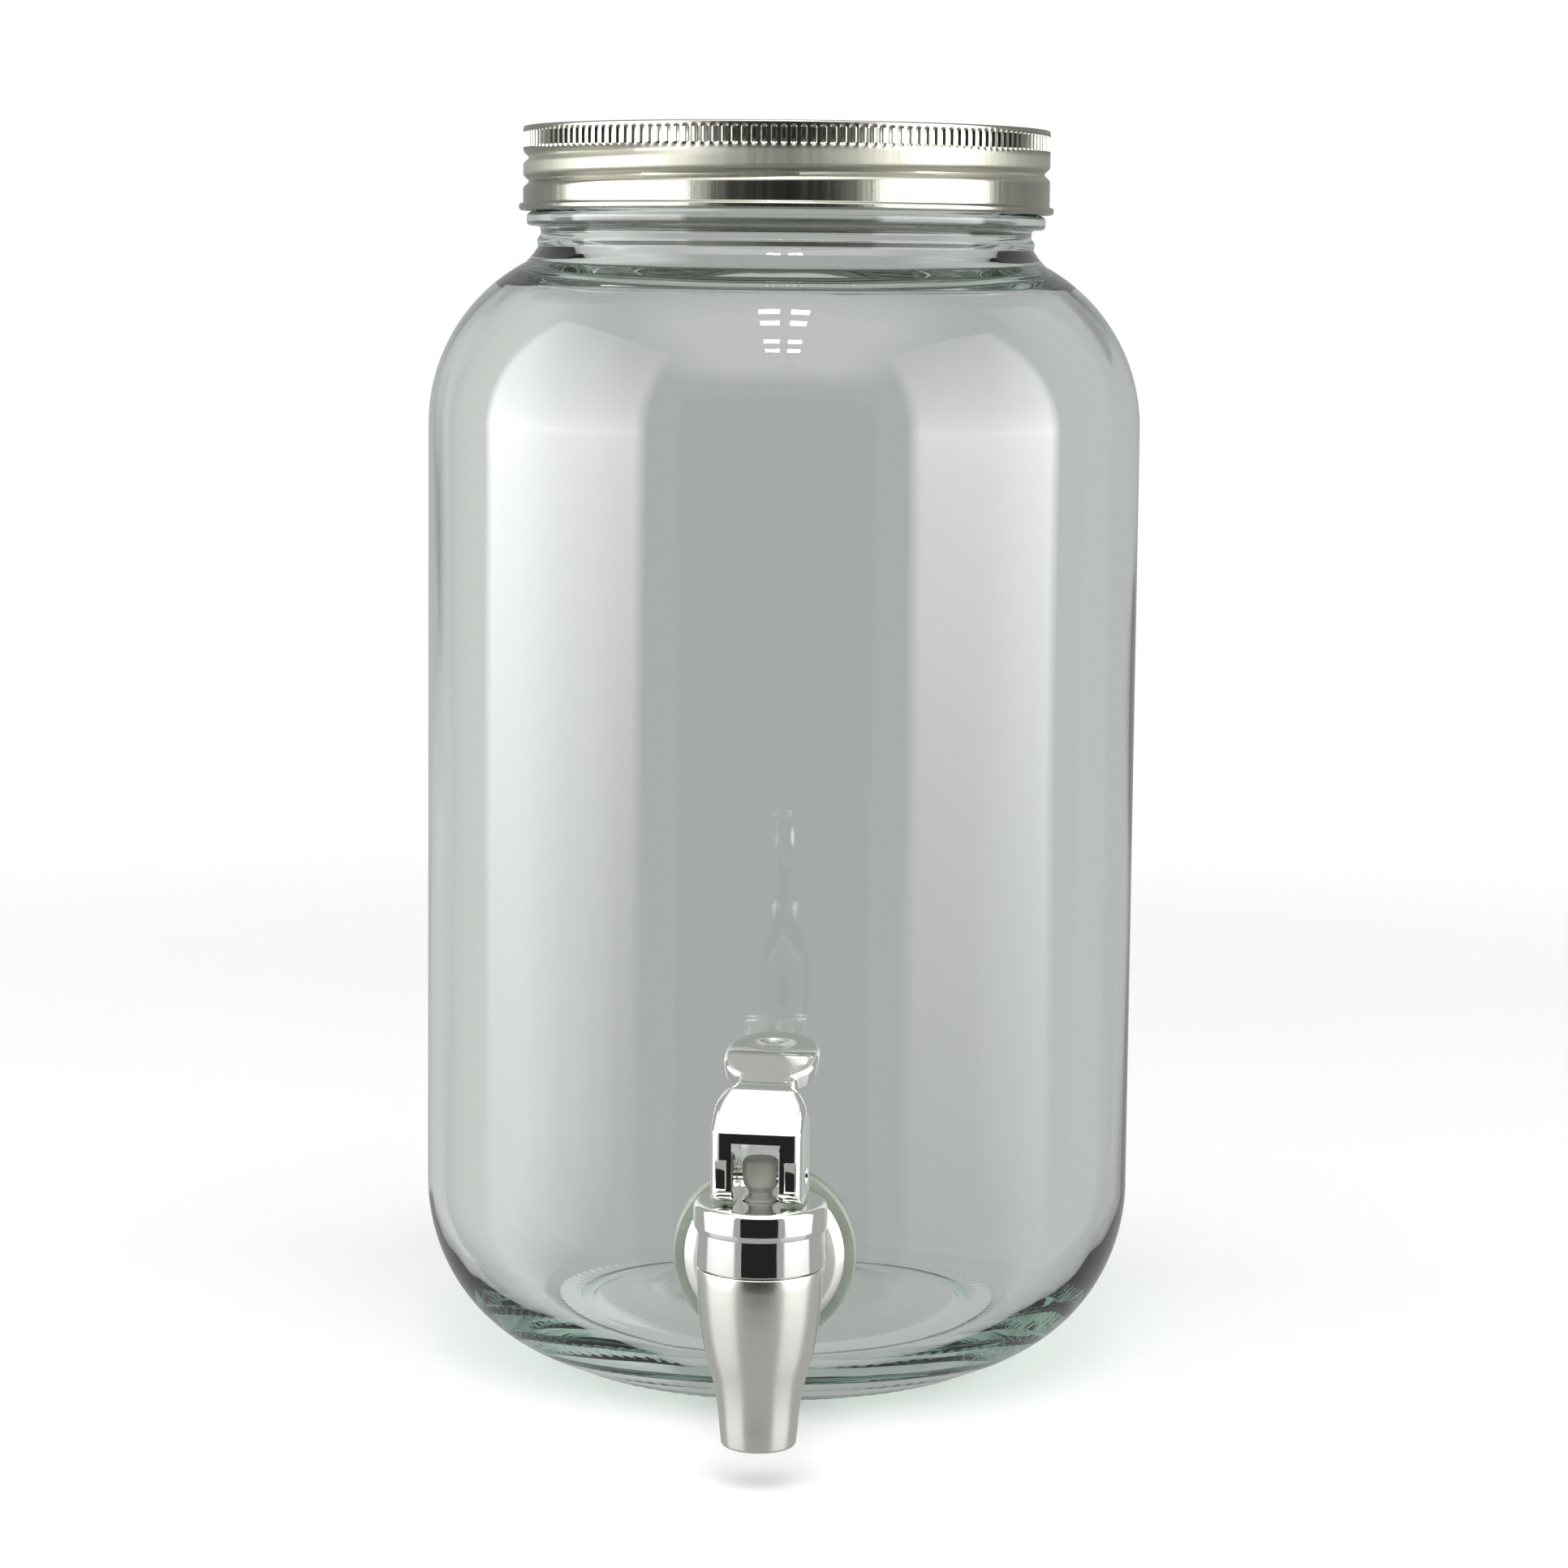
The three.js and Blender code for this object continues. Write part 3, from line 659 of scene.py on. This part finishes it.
def make_washers():
    """Soft washers on both sides of the glass, each bedded to the jar's curve."""
    face = -FLANGE_BACK + GAP
    inner = SHANK_R + GAP
    outline = rounded([
        (inner, face, 0.3), (WASHER_R, face, 0.7), (WASHER_R, -SEAT), (inner, -SEAT),
    ])
    outer = turn("washer_outside", outline, 128, (0, JAR_Y, SHANK_Z), "Y")
    boolean(outer, lower_jar("jar_block", JAR_R + GAP, HEEL_W + GAP, HEEL_H + GAP))
    place(outer, "root", "outer_washer", SILICONE)
    outline = rounded([
        (inner, -SEAT - 10), (14, -SEAT - 10), (14, -SEAT, 0.5), (inner, -SEAT, 0.3),
    ])
    back = turn("washer_inside", outline, 128, (0, JAR_Y, SHANK_Z), "Y")
    thin = WALL + 2 * GAP
    block = lower_jar("hollow_block", JAR_R - thin, HEEL_W - thin, HEEL_H - FLOOR - 2 * GAP)
    boolean(back, block, "INTERSECT")
    place(back, "root", "inner_washer", SILICONE)


def make_nut():
    """Hexagon nut with chamfered corners, a washer face and ribs moulded in its flats."""
    low = -SEAT + GAP
    high = low + 8
    flats = 12.5
    corner = flats / math.cos(math.radians(30))
    sides = 96
    outline = rounded([
        (8.1, low, 0.3), (flats - 0.6, low), (corner, low + 1.0), (corner, high - 1.4),
        (flats - 0.8, high, 0.3), (8.1, high, 0.5),
    ])

    def hexagon(r, z, angle):
        off = (angle + 30) % 60 - 30
        edge = flats / np.cos(np.radians(off)) - 0.25 * (np.abs(off) < 11)
        return np.where(r > 9, np.minimum(r, edge), r), z

    nut = turn("lock_nut_plastic", outline, sides, (0, JAR_Y, SHANK_Z), "Y", warp=hexagon, smooth=25)
    place(nut, "root", "lock_nut", NUT_PLASTIC)


# ---- valve, stem and lever -----------------------------------------------------------------------


def make_seat_cup():
    """Silicone plug with its bell above, on a mesh of its own."""
    low, high = cup_low.z, cup_high.z
    outline = rounded([
        (0, low), (5.2, low + 0.2, 0.4), (6.2, low + 1.3, 0.8), (6.2, 34, 0.6), (4.6, 36.5, 1),
        (4.6, 43, 2), (8.2, 49.5, 1.2), (8.2, NECK_TOP + GAP, 0.2), (10.2, NECK_TOP + GAP, 0.3),
        (10.2, high, 0.3), (7.2, high, 0.3), (7, 49.5, 1.2), (3.6, 43.6, 1.5), (2.5, 42, 0.5),
        (2.5, 33.2, 0.2), (3.3, 32.6, 0.1), (3.3, 29.7), (0, 29.7),
    ])
    cup = turn("seat_cup_silicone", outline, 96, (0, TAP_Y, 0))
    place(cup, "valve", "seat_cup", SILICONE)
    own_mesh(cup)


def pin_hole(half):
    """A drill for the pivot pin, with clearance, that reaches half its length to each side."""
    r = PIN_R + GAP
    return turn("hole", [(0, -half), (r, -half), (r, half), (0, half)], 32, (0, TAP_Y, PIN_Z), "X")


def make_stem():
    """Barbed rod with a collar, a waisted neck and a barrel-shaped head."""
    low = stem_low.z
    outline = rounded([
        (0, low), (2.4, low, 0.2), (3.0, low + 0.7, 0.2), (3.0, low + 2.2, 0.1), (2.2, low + 2.6, 0.1),
        (2.2, 54.2, 0.2), (3.1, 54.8, 0.3), (3.1, 56.9, 0.35), (2.35, 57.3, 0.3), (2.35, 58.4, 0.8),
        (3.3, 59.6, 1.2), (3.75, 61.5, 3.0), (3.55, 64.2, 0.8), (2.9, stem_high.z, 0.7), (0, stem_high.z),
    ])
    stem = turn("valve_stem", outline, 64, (0, TAP_Y, 0))
    for vertex in stem.data.vertices:
        if vertex.co.z > 57.2 * MM:
            vertex.co.y = TAP_Y * MM + (vertex.co.y - TAP_Y * MM) * 0.9
    boolean(stem, pin_hole(10))
    stem.data.shade_smooth()
    stem.data.set_sharp_from_angle(angle=math.radians(35))
    about_barrel(stem)
    place(stem, "stem", "stem", STEM_PLASTIC)


def make_pin():
    half = PIN_L / 2
    outline = rounded([(0, -half), (PIN_R, -half, 0.25), (PIN_R, half, 0.25), (0, half)])
    pin = turn("pivot_pin_steel", outline, 48, (0, TAP_Y, PIN_Z), "X")
    about_barrel(pin)
    place(pin, "stem", "pivot_pin", STEEL)


CAM_RATE = 3.0  # stem rise in mm for each radian of lever
LEVER_W = 17.9
FORK_GAP = 9.2
FORK_TOP = 69.0
FOOT_BACK = 4.6
PAD_W = 18.7
PAD_Y = 13.2
PAD_NEAR = 7.6
WAIST_W = 11.4
WAIST_START = -3.0
WAIST_END = 5.5
TIP_Y = 23.3
DIMPLE_Y = 16.6
DIMPLE_W = 8.0
DIMPLE_L = 7.0
DIMPLE_DEPTH = 0.75


def cam_curve(steps):
    """The foot's underside, an involute whose distance below the pin grows with the lever's angle."""
    height = PIN_Z - CAP_TOP - GAP
    points = []
    for angle in np.radians(np.linspace(0, 52, steps + 1)):
        reach = height + CAM_RATE * angle
        forward = reach * math.sin(angle) + CAM_RATE * math.cos(angle)
        down = reach * math.cos(angle) - CAM_RATE * math.sin(angle)
        points.append((-forward, PIN_Z - down))
    return points


def lever_front(toe):
    """Side view of the lever's front: upright fork, sloping brow, saddle and thumb pad."""
    return rounded([
        (toe, 55), (toe, 71.0, 1.0), (-4.0, 74.9, 16), (0.4, 78.2, 1.4), (3.2, 78.6, 5),
        (13.2, 83.4, 14), (TIP_Y, 85.1),
    ], 10)


def lever_back():
    """Side view of the lever's back, from foot to tip."""
    return rounded([
        (FOOT_BACK, 55), (FOOT_BACK, 71.9, 1.5), (7.6, 76.0, 5), (14.2, 80.8, 8), (19, 83.2, 8),
        (TIP_Y, 83.6),
    ], 10)


def stations(line, marks, counts):
    """Evenly spaced points along a line, with a count of steps from each mark to the next."""
    points = [Vector(p) for p in line]
    lengths = np.concatenate([[0], np.cumsum([(q - p).length for p, q in zip(points, points[1:])])])
    at = [lengths[min(range(len(points)), key=lambda i: (points[i] - Vector(m)).length)] for m in marks]
    where = [at[0]]
    for low, high, count in zip(at, at[1:], counts):
        where += [low + (high - low) * t for t in shares(count)[1:]]
    xs, ys = ([p[k] for p in points] for k in (0, 1))
    return [Vector((np.interp(w, lengths, xs), np.interp(w, lengths, ys))) for w in where]


def lever_width(y):
    """Width of the lever at a place along its front: square fork, narrow waist, round pad."""
    t = min(max((y - WAIST_START) / (WAIST_END - WAIST_START), 0.0), 1.0)
    neck = LEVER_W + (WAIST_W - LEVER_W) * t * t * (3 - 2 * t)
    off = y - PAD_Y
    reach, power = (TIP_Y + 0.1 - PAD_Y, 2.1) if off > 0 else (PAD_NEAR, 3.0)
    pad = PAD_W * max(1 - (abs(off) / reach) ** power, 0.0) ** (1 / power)
    if off > 0:
        return pad
    return (neck**8 + pad**8) ** (1 / 8)


def section(width, depth, front_round, back_round, steps=7, across=18):
    """A rounded rectangle of (across, deep), from its front corner round the back to its front."""
    front_round = min(front_round, width / 2.02, depth / 2.02)
    back_round = min(back_round, width / 2.02, depth / 2.02)
    half = width / 2
    points = []
    for x, y, r, start in (
        (half, depth, front_round, 90), (half, 0, back_round, 0),
        (-half, 0, back_round, -90), (-half, depth, front_round, -180),
    ):
        cx = x - math.copysign(r, x)
        cy = r if y == 0 else depth - r
        for k in range(steps + 1):
            a = math.radians(start - 90 * k / steps)
            points.append((cx + r * math.cos(a), cy + r * math.sin(a)))
    flat = half - front_round
    return points + [(flat * (2 * t - 1), depth) for t in shares(across)[1:-1]]


def lever_blank(toe):
    """The lever lofted from foot to tip, before the fork is cut, with the dimple in its pad."""
    counts = (10, 44, 36, 40)
    front_marks = [(toe, 55), (toe, 68), (0.4, 78.2), (13.2, 83.4), (TIP_Y, 85.1)]
    back_marks = [(FOOT_BACK, 55), (FOOT_BACK, 68), (FOOT_BACK, 71.6), (14.2, 80.8), (TIP_Y, 83.6)]
    front = stations(lever_front(toe), front_marks, counts)
    back = stations(lever_back(), back_marks, counts)
    rows = []
    for f, b in zip(front, back):
        width = lever_width(f.x)
        depth = (f - b).length
        soft_front = 2.2 - 1.3 * min(max(f.x / 8, 0), 1)
        row = []
        for across, deep in section(width, depth, soft_front, 0.8):
            off = math.hypot(across / DIMPLE_W, (f.x - DIMPLE_Y) / DIMPLE_L) * 2
            if deep > depth * 0.9 and off < 1:
                deep -= DIMPLE_DEPTH * (1 - off**2.5)
            here = b + (f - b) * (deep / depth)
            row.append(Vector((across, here.x, here.y)))
        rows.append(row)
    return rows


def make_lever():
    cam = cam_curve(16)
    toe = cam[-1][0]
    rows = lever_blank(toe)
    count = len(rows[0])
    vertices = [(p.x * MM, (p.y + TAP_Y) * MM, p.z * MM) for row in rows for p in row]
    faces = [list(range(count)), list(range(len(vertices) - count, len(vertices)))]
    for i in range(len(rows) - 1):
        for j in range(count):
            k = (j + 1) % count
            faces.append([i * count + j, i * count + k, (i + 1) * count + k, (i + 1) * count + j])
    lever = mesh_object("lever_chrome", vertices, faces)
    slot = [(-20, 40), (20, 40), (20, FORK_TOP), (-20, FORK_TOP)]
    boolean(lever, prism("slot", slot, FORK_GAP, (0, TAP_Y, 0)))
    under = [(-12, 40), (-12, cam[-1][1]), *reversed(cam), (FOOT_BACK - 1.2, cam[0][1]),
             (FOOT_BACK, cam[0][1] + 1.5), (12, cam[0][1] + 1.5), (12, 40)]
    boolean(lever, prism("under", under, 30, (0, TAP_Y, 0)))
    boolean(lever, pin_hole(12))
    for side in (-1, 1):
        pocket = [(toe - 1, 59.8), (toe + 1.1, 59.8), (toe + 1.1, 65.4), (toe - 1, 65.4)]
        boolean(lever, prism("pocket", pocket, 2.1, (side * 6.75, TAP_Y, 0)))
    edge = lever.modifiers.new("edge", "BEVEL")
    edge.width = 0.16 * MM
    edge.segments = 2
    edge.limit_method = "ANGLE"
    edge.angle_limit = math.radians(48)
    apply_modifiers(lever)
    lever.data.shade_smooth()
    lever.data.set_sharp_from_angle(angle=math.radians(40))
    about_barrel(lever)
    place(lever, "lever", "lever", CHROME)


# ---- studio --------------------------------------------------------------------------------------

# Sizes here are in metres.

BACKDROP = 0.43  # glow of what the chrome mirrors and of what shows straight through the jar
LEFT_GLOW = 0.28  # what the backdrop gains at its left side
RIGHT_GLOW = 0.12
THROUGH = 0.55  # glow of what shows through the glass at a slant
AWAY = 1.2  # jar to the windows, and tap to the dark room
CAMERA_AWAY = 0.8551  # jar's axis to the camera
CAMERA_Z = 0.2362
CAMERA_AZIMUTH = 1.65
CAMERA_DOWN = 5.76
CAMERA_ROLL = 0.57
CEILING_Z = 1.35
# A window is three cards, one over the other: name, middle, height, glow at foot and head, and the
# power with which the glow grows between them.
WINDOW_PARTS = (
    ("low_", -0.99, 1.3, 0.5, 1.0, 1.0),
    ("", -0.06, 0.56, 1.0, 8.5, 1.8),
    ("high_", 0.87, 1.3, 8.5, 2.0, 0.5),
)
FLOOR_TONE = 0.63
FLOOR_FADE = (0.25, 0.75)  # where the floor starts to fade, and where it is gone
WHITE = (1, 1, 1, 1)
GREY_GREEN = (0.99, 1, 0.975, 1)


def make_camera():
    azimuth = math.radians(CAMERA_AZIMUTH)
    where = (CAMERA_AWAY * math.sin(azimuth), JAR_Y * MM - CAMERA_AWAY * math.cos(azimuth), CAMERA_Z)
    data = bpy.data.cameras.new("camera")
    data.sensor_width = 36
    data.lens = 90.2
    data.shift_x = 0.0014
    data.shift_y = -0.0756
    camera = bpy.data.objects.new("camera", data)
    camera.matrix_world = (
        Matrix.Translation(where)
        @ Matrix.Rotation(azimuth, 4, "Z")
        @ Matrix.Rotation(math.radians(90 - CAMERA_DOWN), 4, "X")
        @ Matrix.Rotation(math.radians(CAMERA_ROLL), 4, "Z")
    )
    bpy.context.scene.collection.objects.link(camera)
    bpy.context.scene.camera = camera


def make_world():
    """White to look at, a mid grey for what the object mirrors, and a paler one through its glass."""
    world = bpy.data.worlds.new("studio")
    bpy.context.scene.world = world
    world.use_nodes = True
    tree = world.node_tree
    tree.nodes.clear()
    path = tree.nodes.new("ShaderNodeLightPath")
    last = None
    for glow, ray in ((BACKDROP, None), (THROUGH, "Is Transmission Ray"), (1.0, "Is Camera Ray")):
        back = tree.nodes.new("ShaderNodeBackground")
        back.inputs["Color"].default_value = WHITE if ray == "Is Camera Ray" else GREY_GREEN
        back.inputs["Strength"].default_value = glow
        shown = back.outputs[0]
        if ray:
            mix = tree.nodes.new("ShaderNodeMixShader")
            tree.links.new(path.outputs[ray], mix.inputs["Fac"])
            tree.links.new(last, mix.inputs[1])
            tree.links.new(shown, mix.inputs[2])
            shown = mix.outputs[0]
        last = shown
    out = tree.nodes.new("ShaderNodeOutputWorld")
    tree.links.new(last, out.inputs["Surface"])


def make_floor():
    """A pale floor that fades into the white round it. Glass and chrome show the backdrop instead."""
    size = 3.0
    vertices = [(-size, -size, 0), (size, -size, 0), (size, size, 0), (-size, size, 0)]
    floor = mesh_object("floor", vertices, [[0, 1, 2, 3]])
    nodes = Nodes("pale_floor")
    matt = nodes.add("ShaderNodeBsdfDiffuse")
    matt.inputs["Color"].default_value = (FLOOR_TONE, FLOOR_TONE, FLOOR_TONE, 1)
    far = nodes.add("ShaderNodeVectorMath", operation="LENGTH")
    nodes.link(nodes.place, far.inputs[0])
    fade = nodes.spread(far.outputs["Value"], 0.0, 1.0, FLOOR_FADE)
    mix = nodes.add("ShaderNodeMixShader")
    nodes.link(fade, mix.inputs["Fac"])
    nodes.link(matt.outputs[0], mix.inputs[1])
    nodes.link(nodes.add("ShaderNodeBsdfTransparent").outputs[0], mix.inputs[2])
    nodes.link(mix.outputs[0], nodes.out.inputs["Surface"])
    floor.data.materials.append(nodes.material)
    floor.location.z = -0.0002
    floor.visible_glossy = False
    floor.visible_transmission = False


def panel(name, centre, size, low, high=None, power=1.0, soft=0.0, down=False):
    """A glowing or dark card, seen only in reflections and as light. It faces the jar, or down.

    Its glow grows from low to high up the card, and fades out over soft metres at its sides, and at
    its ends too if it faces down.
    """
    half_w, half_h = size[0] / 2, size[1] / 2
    vertices = [(-half_w, -half_h, 0), (half_w, -half_h, 0), (half_w, half_h, 0), (-half_w, half_h, 0)]
    card = mesh_object(name, vertices, [[0, 1, 2, 3]])
    aim = Vector((0, 0, -1)) if down else Vector((-centre[0], JAR_Y * MM - centre[1], 0))
    card.matrix_world = Matrix.Translation(centre) @ aim.to_track_quat("Z", "Y").to_matrix().to_4x4()
    nodes = Nodes(name)
    light = nodes.add("ShaderNodeEmission")
    light.inputs["Strength"].default_value = low
    if high is not None:
        parts = nodes.add("ShaderNodeSeparateXYZ")
        nodes.link(nodes.place, parts.inputs[0])
        up = nodes.maths("POWER", nodes.spread(parts.outputs[1], 0.0, 1.0, (-half_h, half_h)), power)
        glow = nodes.maths("MULTIPLY_ADD", up, high - low, low)
        across = nodes.maths("ABSOLUTE", parts.outputs[0])
        fade = nodes.spread(across, 1.0, 0.0, (half_w - soft, half_w))
        if down:
            along = nodes.maths("ABSOLUTE", parts.outputs[1])
            ends = nodes.spread(along, 1.0, 0.0, (half_h - soft, half_h))
            fade = nodes.maths("MULTIPLY", fade, ends)
        seen = nodes.add("ShaderNodeMixShader")
        nodes.link(fade, seen.inputs["Fac"])
        nodes.link(nodes.add("ShaderNodeBsdfTransparent").outputs[0], seen.inputs[1])
        nodes.link(light.outputs[0], seen.inputs[2])
        nodes.link(glow, light.inputs["Strength"])
        nodes.link(seen.outputs[0], nodes.out.inputs["Surface"])
    else:
        nodes.link(light.outputs[0], nodes.out.inputs["Surface"])
    card.data.materials.append(nodes.material)
    card.visible_camera = False
    card.visible_transmission = False
    card.visible_shadow = False
    return card


def make_lights():
    """A tall window on each side, a ceiling with lamps and a dark room behind the camera."""
    for side, name, turned, wide in ((-1, "left", 73, 1.56), (1, "right", 69, 1.33)):
        angle = math.radians(turned) * side
        x, y = AWAY * math.sin(angle), JAR_Y * MM - AWAY * math.cos(angle)
        for part, z, tall, low, high, power in WINDOW_PARTS:
            panel("window_" + part + name, (x, y, z), (wide, tall), low, high, power, 0.12)
    panel("ceiling", (0, -0.825, CEILING_Z), (2.4, 2.3), 3.0, 3.0, soft=0.7, down=True)
    dark = panel("dark_room", (0, TAP_Y * MM - AWAY, 0.155), (1.5, 1.15), 0.02)
    dark.visible_diffuse = False
    for x, column in ((-0.068, "left"), (0.068, "right")):
        for y, row in ((-0.885, "front_a"), (-0.715, "front_b"), (-0.413, "back_a"), (-0.243, "back_b")):
            lamp = "lamp_%s_%s" % (row, column)
            panel(lamp, (x, y, CEILING_Z - 0.05), (0.09, 0.07), 25.0, down=True)


def make_backdrop():
    """A grey card behind the jar that shows only through the glass, paler towards its sides."""
    half = 0.6
    vertices = [(-half, 0, -half), (half, 0, -half), (half, 0, half), (-half, 0, half)]
    card = mesh_object("backdrop", vertices, [[0, 1, 2, 3]])
    card.location = (0, 0.6, 0.15)
    nodes = Nodes("backdrop")
    light = nodes.add("ShaderNodeEmission")
    parts = nodes.add("ShaderNodeSeparateXYZ")
    nodes.link(nodes.place, parts.inputs[0])
    left = nodes.spread(parts.outputs[0], LEFT_GLOW, 0.0, (-0.14, -0.085))
    right = nodes.spread(parts.outputs[0], 0.0, RIGHT_GLOW, (0.07, 0.11))
    sides = nodes.maths("ADD", left, right)
    nodes.link(nodes.maths("ADD", sides, BACKDROP), light.inputs["Strength"])
    light.inputs["Color"].default_value = GREY_GREEN
    nodes.link(light.outputs[0], nodes.out.inputs["Surface"])
    card.data.materials.append(nodes.material)
    card.visible_camera = False
    card.visible_glossy = False
    card.visible_diffuse = False
    card.visible_shadow = False


# ---- everything ----------------------------------------------------------------------------------

make_camera()
make_jar()
make_lid()
make_gasket()
make_tap_body()
make_bonnet()
make_washers()
make_nut()
make_seat_cup()
make_stem()
make_pin()
make_lever()
make_world()
make_floor()
make_lights()
make_backdrop()

scene = bpy.context.scene
scene.view_settings.view_transform = "Standard"
scene.cycles.max_bounces = 32
scene.cycles.transmission_bounces = 32
scene.cycles.glossy_bounces = 16
scene.cycles.transparent_max_bounces = 16
